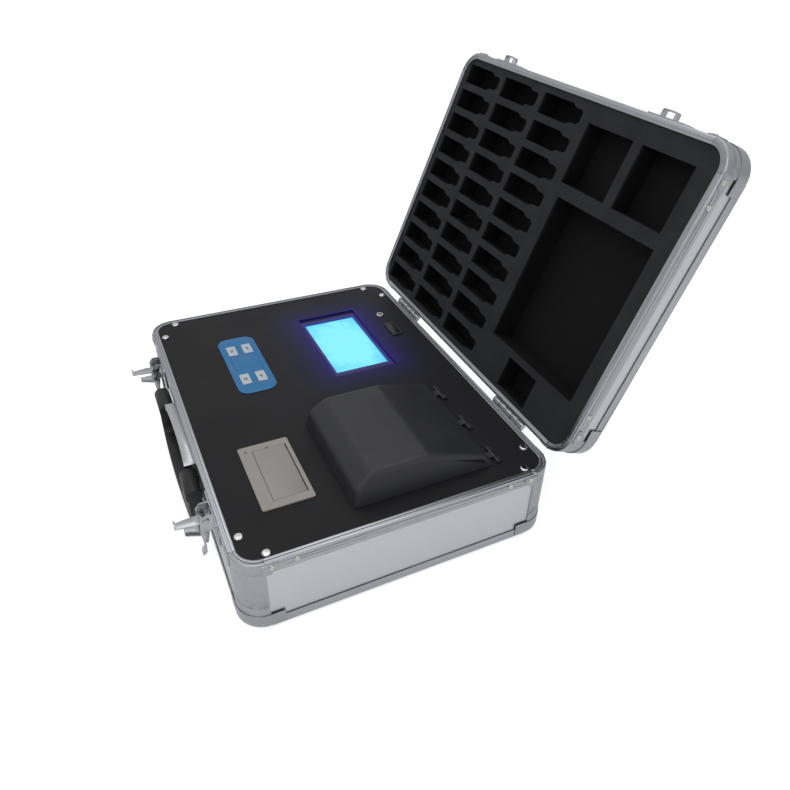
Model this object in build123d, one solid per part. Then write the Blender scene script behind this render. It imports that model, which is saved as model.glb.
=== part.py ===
from build123d import *

import math
import os

# Portable multi-parameter water quality tester in an aluminium flight case.
# The case stands on its feet with the lid open. X runs to the right of the
# user, Y to the hinges at the rear, Z up. The origin is the middle of the
# footprint on the floor. Every size is in millimetres, every angle in degrees.

# The case
case_width = 426.0
case_depth = 314.0
base_height = 81.0
lid_height = 35.5
foot_height = 3.0
corner_radius = 25.0
board_thickness = 4.6
floor_board_thickness = 4.0
lid_board_thickness = 3.0
sheet_thickness = 1.2
rim_band_height = 12.0
rim_inner_height = 8.0
rim_web_thickness = 2.4
rim_groove_width = 1.9
rim_groove_depth = 1.2
rim_bead_height = 1.0
edge_rail_height = 10.5
edge_rail_flange = 16.0
base_ball_height = 26.0
ball_radius = 14.0
post_wall = 2.4
tab_reach = 10.5
tab_thickness = 1.0
tab_radius = 6.0
rivet_radius = 1.6
rivet_head_radius = 2.7
rivet_head_height = 1.1
second_rivet_distance = 52.0
foot_radius = 9.0
foot_inset = 42.0
running_clearance = 0.05
part_clearance = 0.3

# The hinges
hinge_offset = 3.3
hinge_rise = 2.2
hinge_position = 122.0
hinge_width = 56.0
knuckle_radius = 2.6
hinge_pin_radius = 1.2
knuckle_count = 5
leaf_thickness = 1.2
leaf_length = 26.0
stop_reach = 4.2
stop_gap = 0.15
lid_gap = 0.3
lid_open_angle = 112.0

# The latches
latch_position = 129.0
latch_plate_width = 50.0
latch_plate_height = 27.0
latch_plate_drop = 2.0
latch_ear_depth = 13.0
latch_ear_height = 17.0
lever_width = 16.0
lever_sheet = 1.2
lever_length = 47.0
lever_pivot_out = 7.0
lever_pivot_drop = 8.0
lever_rest_angle = 8.0
lever_swing = 70.0
tongue_pivot_out = 9.2
tongue_pivot_drop = 13.5
tongue_width = 11.0
tongue_thickness = 1.5
tongue_length = 24.0
latch_pin_radius = 1.5
keeper_height = 20.0
keeper_hood_width = 17.0
keeper_hood_depth = 8.0
keeper_hood_height = 7.0

# The handle
bracket_width = 108.0
bracket_height = 27.0
bracket_reach = 12.0
handle_pivot_out = 9.0
handle_pivot_drop = 22.0
handle_boss_radius = 8.0
handle_boss_length = 34.0
handle_side_gap = 1.5
handle_drop = 34.0
handle_bar_height = 15.0
handle_thickness = 12.5
handle_bulge = 2.5
handle_pin_radius = 2.5

# The instrument panel
panel_drop = 1.0
panel_thickness = 2.5
ledge_width = 12.0
ledge_height = 18.0
panel_screw_side_edge = 12.0
panel_screw_side_end = 29.5
panel_screw_front_end = 38.5
panel_screw_front_edge = 13.0
screw_head_radius = 4.2
screw_head_height = 1.9
screw_radius = 1.6
screw_length = 12.0

# The display
display_x = -84.0
display_y = 54.3
window_width = 138.0
window_height = 74.0
bezel_margin = 6.0
bezel_thickness = 4.0
lit_width = 116.0
lit_height = 65.0
glass_thickness = 1.8
display_board_width = 144.0
display_board_height = 90.0
display_board_drop = 12.0
board_sheet = 1.6

# The keypad
keypad_x = -81.0
keypad_y = -69.3
keypad_width = 118.0
keypad_height = 43.0
keypad_radius = 12.0
overlay_thickness = 0.8
key_width = 20.0
key_height = 10.7
key_spacing_x = 62.0
key_spacing_y = 17.9
key_cap_thickness = 0.75
key_stand = 0.45
key_travel = 0.4
key_stem_width = 8.0
key_stem_height = 5.0
key_gap = 0.2
key_board_drop = 9.0
switch_side = 6.0

# The printer
printer_x = 110.2
printer_y = -92.5
printer_width = 90.5
printer_height = 50.0
printer_bezel_thickness = 1.6
printer_wall = 2.0
printer_body_width = 82.0
printer_body_height = 46.0
printer_depth = 48.0
door_width = 72.0
door_length = 31.8
door_gap = 0.4
paper_slot = 1.5
door_swing = 75.0
door_pin_radius = 0.8
platen_inset = 6.5
platen_drop = 4.9
platen_radius = 4.0
platen_length = 58.0
platen_axle_radius = 1.5
roll_radius = 13.0
roll_core_radius = 6.0
roll_width = 57.0
roll_spindle_radius = 5.5

# The mains side: power inlet and rocker switch
jack_x = -126.0
jack_y = 119.7
jack_flange_radius = 4.9
jack_body_radius = 3.9
jack_bore_radius = 2.75
jack_depth = 12.0
rocker_x = -87.0
rocker_y = 120.6
rocker_width = 31.0
rocker_height = 14.0
rocker_rim = 2.2
rocker_stand = 1.6
rocker_pivot_depth = 0.9
rocker_body_depth = 16.0
rocker_tilt = 7.0

# The measuring cell and its light cover
cover_x = 116.2
cover_width = 136.5
cover_front_y = -43.0
cover_rear_y = 104.0
cover_height = 30.6
cover_wall = 2.2
cover_side_lean = 6.5
cover_gap = 0.4
cover_edge_round = 6.0
cover_hinge_out = 5.2
cover_knuckle_radius = 2.0
cover_pin_radius = 0.9
cover_hinge_rise = 1.0
cover_swing = 95.0
cell_block_width = 86.0
cell_block_length = 62.0
cell_block_height = 68.0
cell_block_y = 18.0
cell_block_stand = 3.0
tube_bore_radius = 8.3
tube_bore_depth = 58.0
tube_offset = 20.0
cuvette_side = 13.0
cuvette_depth = 40.0
lamp_radius = 5.0
lamp_length = 14.0

# The foam in the lid
foam_recess = 2.0
pocket_length = 69.0
pocket_width = 21.5
pocket_neck_width = 15.0
pocket_neck_length = 13.0
pocket_shoulder = 7.0
pocket_depth = 24.0
pocket_first_x = -164.5
pocket_column_pitch = 78.2
pocket_columns = 3
pocket_first_y = -132.0
pocket_row_pitch = 29.6
pocket_rows = 10
square_pocket_width = 66.0
square_pocket_length = 61.0
square_pocket_x = 73.0
square_pocket_pitch = 78.0
square_pocket_y = -100.0
tray_margin = 2.6
tray_front_margin = 12.5
tray_rear_margin = 1.2
tray_lining = 1.2
single_pocket_x = 111.0
single_pocket_y = 129.8
single_pocket_width = 50.0
single_pocket_length = 34.5

# The electronics in the base
main_board_width = 150.0
main_board_length = 100.0
main_board_x = -90.0
main_board_y = 40.0
spacer_height = 12.0
spacer_radius = 3.5
battery_width = 110.0
battery_length = 62.0
battery_height = 26.0
battery_x = -95.0
battery_y = -85.0
battery_strap_width = 14.0

# Places that follow from the sizes above
half_width = case_width / 2
half_depth = case_depth / 2
panel_screw_x = half_width - panel_screw_side_edge
panel_screw_y = half_depth - panel_screw_side_end
panel_screw_inner_x = half_width - panel_screw_front_end
panel_screw_inner_y = half_depth - panel_screw_front_edge
rim_width = 2 * sheet_thickness + board_thickness
rim_z = foot_height + base_height
lid_rim_z = rim_z + lid_gap
lid_top_z = lid_rim_z + lid_height
lid_ball_height = lid_height - rim_band_height
front_face = -half_depth
board_depth = sheet_thickness + board_thickness
panel_z = rim_z - panel_drop
panel_under = panel_z - panel_thickness
floor_z = foot_height + sheet_thickness
floor_top = floor_z + floor_board_thickness
hinge_y = half_depth + hinge_offset
hinge_z = rim_z + hinge_rise
hinge_axis = Axis((0, hinge_y, hinge_z), (-1, 0, 0))
lever_pivot_y = front_face - lever_pivot_out
lever_pivot_z = rim_z - lever_pivot_drop
tongue_pivot_y = front_face - tongue_pivot_out
tongue_pivot_z = rim_z - tongue_pivot_drop
handle_y = front_face - handle_pivot_out
handle_z = rim_z - handle_pivot_drop
cover_axis_y = cover_rear_y + cover_hinge_out
cover_axis_z = panel_z + cover_hinge_rise
tray_front = cover_front_y - tray_front_margin
tray_rear = cover_rear_y + tray_rear_margin
printer_top = panel_z + printer_bezel_thickness
door_front = printer_y - 12.2
door_axis_y = door_front + 1.2
door_axis_z = panel_z + 0.3
platen_y = door_front + door_length - platen_inset
platen_z = panel_z - platen_drop
roll_y = printer_y
roll_z = panel_z - 27.0
rocker_axis_z = panel_z - rocker_pivot_depth


def block(x0, x1, y0, y1, z0, z1):
    """A box given by its two corners."""
    return Pos((x0 + x1) / 2, (y0 + y1) / 2, (z0 + z1) / 2) * Box(x1 - x0, y1 - y0, z1 - z0)


def slab(x, y, width, length, radius, z0, z1):
    """A plate with rounded corners, centred on x and y."""
    return extrude(Pos(x, y, z0) * RectangleRounded(width, length, radius), z1 - z0)


def along_x(points, x0, x1):
    """A straight profile given in Y and Z, running from x0 to x1."""
    return extrude(Plane.YZ.offset(x0) * make_face(Polyline(*points, close=True)), x1 - x0)


def along_y(points, y0, y1):
    """A straight profile given in X and Z, running from y0 to y1."""
    return extrude(Plane.XZ.offset(-y0) * make_face(Polyline(*points, close=True)), y0 - y1)


def rod(x0, x1, y, z, radius):
    """A round bar along X."""
    return Pos((x0 + x1) / 2, y, z) * Rot(0, 90, 0) * Cylinder(radius, x1 - x0)


def upright(x, y, z0, z1, radius):
    """A round bar along Z."""
    return Pos(x, y, (z0 + z1) / 2) * Cylinder(radius, z1 - z0)


def both_sides(shape):
    """The shape and its mirror image across the case's middle plane."""
    return [shape, mirror(shape, about=Plane.YZ)]


def four_corners(shape):
    """The shape and its mirror images at the other three corners."""
    return both_sides(shape) + both_sides(mirror(shape, about=Plane.XZ))


def save(name, *shapes):
    """Writes the shapes as one node."""
    solids = [solid for shape in shapes for solid in shape.solids()]
    whole = solids[0] if len(solids) == 1 else Compound(solids)
    export_step(whole, f"parts/{name}.step")


# The two halves of the case are built alike. A half is given by the height of
# its rim plane, the direction from there into the half, and its full height.
# A profile point is the depth in from the outer face and the height from the rim.

base_half = (rim_z, -1, base_height)
lid_half = (lid_rim_z, 1, lid_height)


def straight_sides(half, profile):
    """The four straight lengths of a frame profile, between the corners."""
    level, way, _ = half
    reach_x = half_width - corner_radius
    reach_y = half_depth - corner_radius
    front = along_x([(front_face + d, level + way * h) for d, h in profile], -reach_x, reach_x)
    right = along_y([(half_width - d, level + way * h) for d, h in profile], -reach_y, reach_y)
    return [front, mirror(front, about=Plane.XZ)] + both_sides(right)


def corner_turn(half, profile):
    """The front right corner of a frame profile, turned about the corner's centre."""
    level, way, _ = half
    centre = (half_width - corner_radius, corner_radius - half_depth, 0)
    points = [(half_width - d, level + way * h) for d, h in profile]
    face = Plane.XZ.offset(-centre[1]) * make_face(Polyline(*points, close=True))
    return revolve(face, axis=Axis(centre, (0, 0, -1)), revolution_arc=90)


def rim_profile(half):
    """Folded rim section: outer band, inner leg, and a groove or a bead on top."""
    t = sheet_thickness
    middle = rim_width / 2
    half_groove = rim_groove_width / 2
    if half is base_half:
        crest = [(middle - half_groove, 0), (middle - half_groove, rim_groove_depth)]
        crest += [(middle + half_groove, rim_groove_depth), (middle + half_groove, 0)]
    else:
        half_bead = half_groove - part_clearance
        crest = [(middle - half_bead, 0), (middle - half_bead, -rim_bead_height)]
        crest += [(middle + half_bead, -rim_bead_height), (middle + half_bead, 0)]
    outer = [(0, rim_band_height), (0, t), (t * 0.3, t * 0.3), (t, 0)]
    inner = [(rim_width, 0), (rim_width, rim_inner_height), (rim_width - t, rim_inner_height)]
    inside = [(rim_width - t, rim_web_thickness), (t, rim_web_thickness), (t, rim_band_height)]
    return outer + crest + inner + inside


def rivet_places(half):
    """Rivets of the front right corner: the hole's place and the way it points."""
    level, way, _ = half
    z = level + way * (rim_band_height / 2 - 1)
    tab = corner_radius + tab_reach / 2
    far = second_rivet_distance
    right = [((half_width, tab - half_depth, z), (1, 0, 0))]
    right.append(((half_width, far - half_depth, z), (1, 0, 0)))
    front = [((half_width - tab, front_face, z), (0, -1, 0))]
    return right + front


def rivet_bars(half, radius, outside, inside):
    """Round bars along the rivets' axes, from inside the face to outside it."""
    bars = []
    for place, way in rivet_places(half):
        plane = Plane(origin=place, z_dir=way).offset(-inside)
        bars.append(extrude(plane * Circle(radius), inside + outside))
    return bars


def rim_rails(half):
    """Four rim extrusions, drilled for the rivets."""
    holes = []
    for bar in rivet_bars(half, rivet_radius + running_clearance, 1, sheet_thickness + 0.2):
        holes += four_corners(bar)
    rails = []
    for rail in straight_sides(half, rim_profile(half)):
        for hole in holes:
            rail -= hole
        rails.append(rail)
    return rails


def rim_tab(half, place, way):
    """The riveted ear of a corner piece, lying over the end of the rail's band."""
    level, sign, _ = half
    x, y, z = place
    edge = level + sign * 1.6
    low = level + sign * (rim_band_height + 1.2)
    z0, z1 = min(edge, low), max(edge, low)
    band = level + sign * rim_band_height
    r0, r1 = min(edge, band), max(edge, band)
    plane = Plane(origin=place, z_dir=way)
    round_end = extrude(plane * Circle(tab_radius), tab_thickness)
    inner = corner_radius - 3.0
    reach = tab_reach / 2
    if way[0]:
        arm = block(x, x + tab_thickness, y - reach - 3.0, y, z0, z1)
        root = block(x - 0.6, x + 0.1, inner - half_depth, corner_radius - half_depth, r0, r1)
        limit = block(x - 2, x + 2, inner - half_depth, y + tab_radius, z0, z1)
    else:
        arm = block(x, x + reach + 3.0, y - tab_thickness, y, z0, z1)
        root = block(half_width - corner_radius, half_width - inner, y - 0.1, y + 0.6, r0, r1)
        limit = block(x - tab_radius, half_width - inner, y - 2, y + 2, z0, z1)
    return ((round_end + arm) & limit) + root


def rim_corner(half):
    """The front right corner piece of the rim with its two riveted ears."""
    corner = corner_turn(half, rim_profile(half))
    places = rivet_places(half)
    corner += rim_tab(half, *places[0])
    corner += rim_tab(half, *places[2])
    for bar in rivet_bars(half, rivet_radius + running_clearance, 3, sheet_thickness + 0.2):
        corner -= bar
    return corner


def rivets(half):
    """Domed rivets through the ears and the bands."""
    made = []
    for (place, way), proud in zip(rivet_places(half), (tab_thickness, 0, tab_thickness)):
        plane = Plane(origin=place, z_dir=way)
        shank = extrude(plane.offset(-sheet_thickness) * Circle(rivet_radius), sheet_thickness + proud)
        head = extrude(plane.offset(proud) * Circle(rivet_head_radius), rivet_head_height)
        rim_edge = head.faces().sort_by(Axis(place, way))[-1].edges()
        head = fillet(rim_edge, rivet_head_height * 0.8)
        made += four_corners(shank + head)
    return made


def edge_profile(half):
    """Angle section round the floor of the base or the top of the lid."""
    height = half[2]
    t = sheet_thickness
    low = height - edge_rail_height
    outer = [(0, low), (0, height - t), (t * 0.3, height - t * 0.3), (t, height)]
    inner = [(edge_rail_flange, height), (edge_rail_flange, height - t), (t, height - t), (t, low)]
    return outer + inner


def side_boards(half):
    """Four faced side boards between the corners."""
    t = sheet_thickness
    height = half[2]
    section = [(t, rim_web_thickness), (board_depth, rim_web_thickness)]
    section += [(board_depth, height - t), (t, height - t)]
    return straight_sides(half, section)


def flat_board(half, thickness):
    """The floor board or the lid's top board, notched at the four corners."""
    level, way, height = half
    near = level + way * (height - sheet_thickness - thickness)
    far = level + way * (height - sheet_thickness)
    z0, z1 = min(near, far), max(near, far)
    reach_x = half_width - board_depth
    reach_y = half_depth - board_depth
    notch = corner_radius - board_depth
    board = block(-reach_x, reach_x, -reach_y, reach_y, z0, z1)
    for cut in four_corners(block(reach_x - notch, reach_x, -reach_y, notch - reach_y, z0, z1)):
        board -= cut
    return board


def ball_corner(half, ball_height):
    """A rounded corner casting, turned as a quarter shell."""
    level, way, height = half
    t = sheet_thickness
    z_end = level + way * height
    z_mid = level + way * (height - ball_radius)
    z_top = level + way * (height - ball_height)
    centre_y = corner_radius - half_depth
    x_face = half_width
    x_flat = half_width - ball_radius
    x_axis = half_width - corner_radius
    sweep = math.sqrt(0.5)
    outer_mid = (x_flat + ball_radius * sweep, z_mid + way * ball_radius * sweep)
    inner_radius = ball_radius - t
    inner_mid = (x_flat + inner_radius * sweep, z_mid + way * inner_radius * sweep)
    lines = Line((x_axis, z_end), (x_flat, z_end))
    lines += ThreePointArc((x_flat, z_end), outer_mid, (x_face, z_mid))
    lines += Polyline((x_face, z_mid), (x_face, z_top), (x_face - t, z_top), (x_face - t, z_mid))
    lines += ThreePointArc((x_face - t, z_mid), inner_mid, (x_flat, z_end - way * t))
    lines += Polyline((x_flat, z_end - way * t), (x_axis, z_end - way * t), (x_axis, z_end))
    face = Plane.XZ.offset(-centre_y) * make_face(lines)
    return revolve(face, axis=Axis((x_axis, centre_y, 0), (0, 0, -1)), revolution_arc=90)


def corner_post(half):
    """The front right corner post of the base: two turned walls and their end webs."""
    level, way, height = half
    t = sheet_thickness
    foot = height - base_ball_height
    band = rim_band_height
    web = rim_web_thickness
    skin = [(0, band), (t, band), (t, web), (post_wall, web), (post_wall, foot), (0, foot)]
    back = [(board_depth - t, web), (board_depth, web), (board_depth, foot), (board_depth - t, foot)]
    post = corner_turn(half, skin) + corner_turn(half, back)
    z0 = level + way * foot
    z1 = level + way * web
    side_y = corner_radius - half_depth
    side_x = half_width - corner_radius
    post += block(half_width - board_depth, half_width - t - 0.2, side_y - t, side_y, z0, z1)
    post += block(side_x, side_x + t, front_face + t + 0.2, front_face + board_depth, z0, z1)
    return post


def feet():
    """Four turned rubber feet under the floor board."""
    points = [(0, 0), (foot_radius * 0.8, 0), (foot_radius, floor_z * 0.4), (foot_radius, floor_z), (0, floor_z)]
    section = Plane.XZ * make_face(Polyline(*points, close=True))
    foot = revolve(section, axis=Axis.Z, revolution_arc=360)
    return four_corners(Pos(half_width - foot_inset, foot_inset - half_depth, 0) * foot)


def hinge_leaf(half, x):
    """One leaf of a case hinge, with its share of the knuckles, lid closed."""
    level, way, _ = half
    share = hinge_width / knuckle_count
    gap = part_clearance / 2
    first = 0 if half is base_half else 1
    x0 = x - hinge_width / 2
    skin = half_depth
    near = hinge_z + way * (knuckle_radius + 0.8)
    far = near + way * leaf_length
    plate = block(x0, x0 + hinge_width, skin, skin + leaf_thickness, min(near, far), max(near, far))
    corner_edges = plate.edges().filter_by(Axis.Y).sort_by(Axis.Z)
    outer_edges = corner_edges[:2] if way < 0 else corner_edges[2:]
    plate = fillet(outer_edges, 4.0)
    leaf = plate
    for k in range(first, knuckle_count, 2):
        a = x0 + k * share + gap
        b = x0 + (k + 1) * share - gap
        end = near + way * 1.0
        leaf += block(a, b, skin + part_clearance, hinge_y, min(hinge_z, end), max(hinge_z, end))
        leaf += rod(a, b, hinge_y, hinge_z, knuckle_radius)
        if half is lid_half:
            y0 = skin + leaf_thickness + stop_gap
            stop = block(a, b, y0, hinge_y, hinge_z - knuckle_radius - stop_reach, hinge_z)
            leaf += stop.rotate(hinge_axis, -lid_open_angle)
    leaf -= rod(x0 - 1, x0 + hinge_width + 1, hinge_y, hinge_z, hinge_pin_radius + running_clearance)
    return leaf


def hinge_pin(x):
    """The steel pin through a hinge's knuckles."""
    reach = hinge_width / 2
    return rod(x - reach, x + reach, hinge_y, hinge_z, hinge_pin_radius)


def face_plate(x, width, z0, z1, radius):
    """A stamped plate on the front: flat on the rim band, stepped in to meet the board."""
    low_step = rim_z - rim_band_height - part_clearance
    high_step = lid_rim_z + rim_band_height + part_clearance
    plate = block(x - width / 2, x + width / 2, front_face - leaf_thickness, front_face, z0, z1)
    edges = plate.edges().filter_by(Axis.Y)
    plate = fillet(edges, radius)
    if z0 < low_step:
        plate += block(x - width / 2 + radius, x + width / 2 - radius, front_face,
                       front_face + sheet_thickness, z0, low_step)
    if z1 > high_step:
        plate += block(x - width / 2 + radius, x + width / 2 - radius, front_face,
                       front_face + sheet_thickness, high_step, z1)
    return plate


def latch_plate(x):
    """The fixed plate of a draw latch with its two ears."""
    z1 = rim_z - latch_plate_drop
    plate = face_plate(x, latch_plate_width, z1 - latch_plate_height, z1, 3.0)
    inside = lever_width / 2 + part_clearance
    top = z1 - 1.0
    low = top - latch_ear_height
    out = front_face - latch_ear_depth
    ear_points = [(front_face - 0.5, top), (out + 4.0, top), (out, top - 5.0), (out, low + 5.0)]
    ear_points += [(out + 5.0, low), (front_face - 0.5, low)]
    for a in (x - inside - 1.5, x + inside):
        plate += along_x(ear_points, a, a + 1.5)
    hole = latch_pin_radius + running_clearance
    plate -= rod(x - inside - 2, x + inside + 2, lever_pivot_y, lever_pivot_z, hole)
    return plate


def latch_studs(x):
    """Two stub rivets that carry the lever in the ears."""
    inside = lever_width / 2 + part_clearance
    made = []
    for side in (-1, 1):
        near = x + side * (lever_width / 2 - lever_sheet - 0.4)
        far = x + side * (inside + 1.5)
        stud = rod(min(near, far), max(near, far), lever_pivot_y, lever_pivot_z, latch_pin_radius)
        cap = far + side * 1.2
        stud += rod(min(far, cap), max(far, cap), lever_pivot_y, lever_pivot_z, latch_pin_radius + 0.9)
        made.append(stud)
    return made


def lever_closed(x):
    """The latch lever lying flat: two cheeks, a web below them and a curled finger end."""
    half_w = lever_width / 2
    top = lever_pivot_z + 3.2
    waist = tongue_pivot_z - 9.0
    low = lever_pivot_z - lever_length
    back = front_face - 1.8
    cheek = [(back - 1.4, top), (back - 8.4, top - 1.0), (back - 10.2, tongue_pivot_z - 3.0)]
    cheek += [(back - 7.6, waist - 8.0), (back - 5.0, waist - 18.0), (back - 3.6, low + 2.0)]
    cheek += [(back - 2.2, low + 2.0), (back - 2.2, waist - 18.0), (back - 1.6, waist - 2.0)]
    lever = along_x(cheek, x - half_w, x - half_w + lever_sheet)
    lever += along_x(cheek, x + half_w - lever_sheet, x + half_w)
    web = [(back - 8.9, waist + 1.0), (back - 10.1, waist + 1.0), (back - 7.6, waist - 8.0)]
    web += [(back - 5.0, waist - 18.0), (back - 3.6, low + 4.0), (back - 6.2, low)]
    web += [(back - 5.2, low - 0.9), (back - 2.3, low + 3.6), (back - 3.8, waist - 17.6)]
    web += [(back - 6.4, waist - 7.8)]
    lever += along_x(web, x - half_w, x + half_w)
    taper = [(x - half_w, waist - 6), (x - 4.0, low - 2), (x - half_w - 1, low - 2), (x - half_w - 1, waist - 6)]
    cut = along_y(taper, back - 20, back)
    lever -= cut
    lever -= mirror(cut, about=Plane.YZ.offset(x))
    tab_out = back - 22.0
    tab_z = waist - 3.0
    tab = extrude(Pos(x, 0, tab_z - lever_sheet) * make_face(Polyline(
        (-half_w, back - 8.0), (half_w, back - 8.0), (half_w - 3.5, tab_out), (3.5 - half_w, tab_out), close=True)),
        lever_sheet)
    lever += tab
    hole = latch_pin_radius + running_clearance
    lever -= rod(x - half_w - 1, x + half_w + 1, lever_pivot_y, lever_pivot_z, hole)
    lever -= rod(x - half_w - 1, x + half_w + 1, tongue_pivot_y, tongue_pivot_z, hole)
    return lever


def tongue_closed(x):
    """The hooked tongue standing up against the lid, with its own cross pin."""
    half_w = tongue_width / 2
    z0 = tongue_pivot_z
    hook_z = z0 + tongue_length
    y = tongue_pivot_y
    t = tongue_thickness
    eye = rod(x - half_w, x + half_w, y, z0, 2.4)
    strip = block(x - half_w, x + half_w, y - t / 2, y + t / 2, z0, hook_z)
    slim = along_y([(x - half_w, z0 + 8), (x - half_w, hook_z + 1), (x - half_w + 2.0, hook_z + 1)], y - 5, y + 5)
    hook = block(x - half_w, x + half_w, y - t / 2, y + 3.8, hook_z - t, hook_z)
    tongue = eye + strip + hook
    tongue -= slim
    tongue -= mirror(slim, about=Plane.YZ.offset(x))
    pin_end = lever_width / 2 + part_clearance - 0.1
    tongue += rod(x - pin_end, x + pin_end, y, z0, latch_pin_radius)
    return tongue


def lever_axis(x):
    return Axis((x, lever_pivot_y, lever_pivot_z), (-1, 0, 0))


def latch_lever(x):
    """The lever as the open latch shows it."""
    return lever_closed(x).rotate(lever_axis(x), lever_rest_angle)


def latch_tongue(x):
    """The tongue sprung out level, as the open latch shows it."""
    swing = 90.0 + lever_rest_angle
    tongue = tongue_closed(x).rotate(Axis((x, tongue_pivot_y, tongue_pivot_z), (1, 0, 0)), swing)
    return tongue.rotate(lever_axis(x), lever_rest_angle)


def keeper(x):
    """The lid's catch plate with a raised hood that the tongue hooks over."""
    z0 = lid_rim_z + 1.2
    plate = face_plate(x, latch_plate_width, z0, z0 + keeper_height, 3.0)
    half_w = keeper_hood_width / 2
    out = front_face - keeper_hood_depth
    top = z0 + keeper_hood_height
    shell = block(x - half_w, x + half_w, out, front_face, z0 + 0.4, top)
    shell = fillet(shell.edges().filter_by(Axis.Z).sort_by(Axis.Y)[:2], 2.0)
    hollow = block(x - half_w + 1.3, x + half_w - 1.3, out + 1.3, front_face - leaf_thickness, z0 - 1, top + 1)
    return plate + (shell - hollow)


def handle_bracket():
    """The stamped steel bracket: back plate, top shelf with a hollowed front, two cheeks."""
    half_w = bracket_width / 2
    top = rim_z - rim_band_height - part_clearance
    low = top - bracket_height
    board_face = front_face + sheet_thickness
    out = front_face - bracket_reach
    bracket = block(-half_w, half_w, front_face, board_face, low, top)
    shelf = block(-half_w, half_w, out, front_face, top - 1.4, top)
    bow = 900.0
    shelf -= Pos(0, out + 3.0 - bow, top) * Cylinder(bow, 10)
    bracket += shelf
    cheek = [(front_face + 0.3, top - 0.7), (out + 1.5, top - 0.7), (out + 1.5, handle_z - 3.0)]
    cheek += [(out + 6.0, handle_z - 7.5), (front_face + 0.3, low)]
    for a in (-half_w, half_w - 1.4):
        bracket += along_x(cheek, a, a + 1.4)
    hole = handle_pin_radius + running_clearance
    bracket -= rod(-half_w - 1, half_w + 1, handle_y, handle_z, hole)
    return bracket


def handle_pins():
    """Two pivot pins from the bracket's cheeks into the grip's ends."""
    inner = bracket_width / 2 - 4.0
    outer = bracket_width / 2 + handle_side_gap + 14.0
    return both_sides(rod(inner, outer, handle_y, handle_z, handle_pin_radius))


def carry_handle():
    """The moulded grip hanging down: two round ends, two arms and a bowed bar."""
    inner = bracket_width / 2 + handle_side_gap
    outer = inner + handle_boss_length
    bar_top = handle_z - handle_drop + handle_bar_height / 2
    bar_low = bar_top - handle_bar_height
    near = handle_y + handle_thickness / 2
    far = handle_y - handle_thickness / 2 - handle_bulge
    outline = block(-outer, outer, far, near, bar_low, handle_z)
    outline = fillet(outline.edges().filter_by(Axis.Y).sort_by(Axis.Z)[:2], 24.0)
    window = block(-inner, inner, far - 1, near + 1, bar_top, handle_z + 20)
    window = fillet(window.edges().filter_by(Axis.Y).sort_by(Axis.Z)[:2], 8.0)
    grip = outline - window
    bow = (outer * outer + handle_bulge * handle_bulge) / (2 * handle_bulge)
    grip &= Pos(0, far + bow, handle_z) * Cylinder(bow, 200)
    ends = both_sides(rod(inner, outer, handle_y, handle_z, handle_boss_radius))
    for end in ends:
        grip += end
    for hole in both_sides(rod(inner - 1, inner + 15, handle_y, handle_z, handle_pin_radius + running_clearance)):
        grip -= hole
    return grip


def panel_outline(grow, z0, z1):
    """The inside of the rim, grown or shrunk, between two heights."""
    width = case_width - 2 * rim_width + 2 * grow
    depth = case_depth - 2 * rim_width + 2 * grow
    return slab(0, 0, width, depth, corner_radius - rim_width + grow, z0, z1)


def screw_places():
    """The eight panel screws, two at each corner."""
    places = []
    for sx in (-1, 1):
        for sy in (-1, 1):
            places.append((sx * panel_screw_x, sy * panel_screw_y))
            places.append((sx * panel_screw_inner_x, sy * panel_screw_inner_y))
    return places


def key_places():
    """The middles of the four keys."""
    places = []
    for sx in (-0.5, 0.5):
        for sy in (-0.5, 0.5):
            places.append((keypad_x + sx * key_spacing_x, keypad_y + sy * key_spacing_y))
    return places


def key_stud_places():
    """The posts under the panel that carry the key board."""
    reach_x = keypad_width / 2 - 7
    reach_y = keypad_height / 2 - 7
    return [(keypad_x + sx * reach_x, keypad_y + sy * reach_y) for sx in (-1, 1) for sy in (-1, 1)]


def display_stud_places():
    """The posts under the panel that carry the display board."""
    reach_x = display_board_width / 2 - 5
    reach_y = display_board_height / 2 - 3.0
    return [(display_x + sx * reach_x, display_y + sy * reach_y) for sx in (-1, 1) for sy in (-1, 1)]


def top_panel():
    """The black instrument panel with all its cut-outs and the board posts below it."""
    panel = panel_outline(-part_clearance, panel_under, panel_z)
    low, high = panel_under - 1, panel_z + 1
    for x, y in screw_places():
        panel -= upright(x, y, low, high, screw_radius + part_clearance)
    reach_x, reach_y = window_width / 2, window_height / 2
    panel -= block(display_x - reach_x, display_x + reach_x, display_y - reach_y, display_y + reach_y, low, high)
    for x, y in key_places():
        reach_x, reach_y = key_stem_width / 2 + 0.5, key_stem_height / 2 + 0.5
        panel -= block(x - reach_x, x + reach_x, y - reach_y, y + reach_y, low, high)
    reach_x, reach_y = printer_body_width / 2, printer_body_height / 2
    panel -= block(printer_x - reach_x, printer_x + reach_x, printer_y - reach_y, printer_y + reach_y, low, high)
    panel -= upright(jack_x, jack_y, low, high, jack_body_radius)
    reach_x, reach_y = rocker_width / 2 - 1.2, rocker_height / 2 - 1.2
    panel -= block(rocker_x - reach_x, rocker_x + reach_x, rocker_y - reach_y, rocker_y + reach_y, low, high)
    reach_x, reach_y = cell_block_width / 2, cell_block_length / 2
    panel -= block(cover_x - reach_x, cover_x + reach_x, cell_block_y - reach_y, cell_block_y + reach_y, low, high)
    for x, y in key_stud_places():
        panel += upright(x, y, panel_z - key_board_drop, panel_under, 2.5)
    for x, y in display_stud_places():
        panel += upright(x, y, panel_z - display_board_drop, panel_under, 2.5)
    return panel


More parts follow.
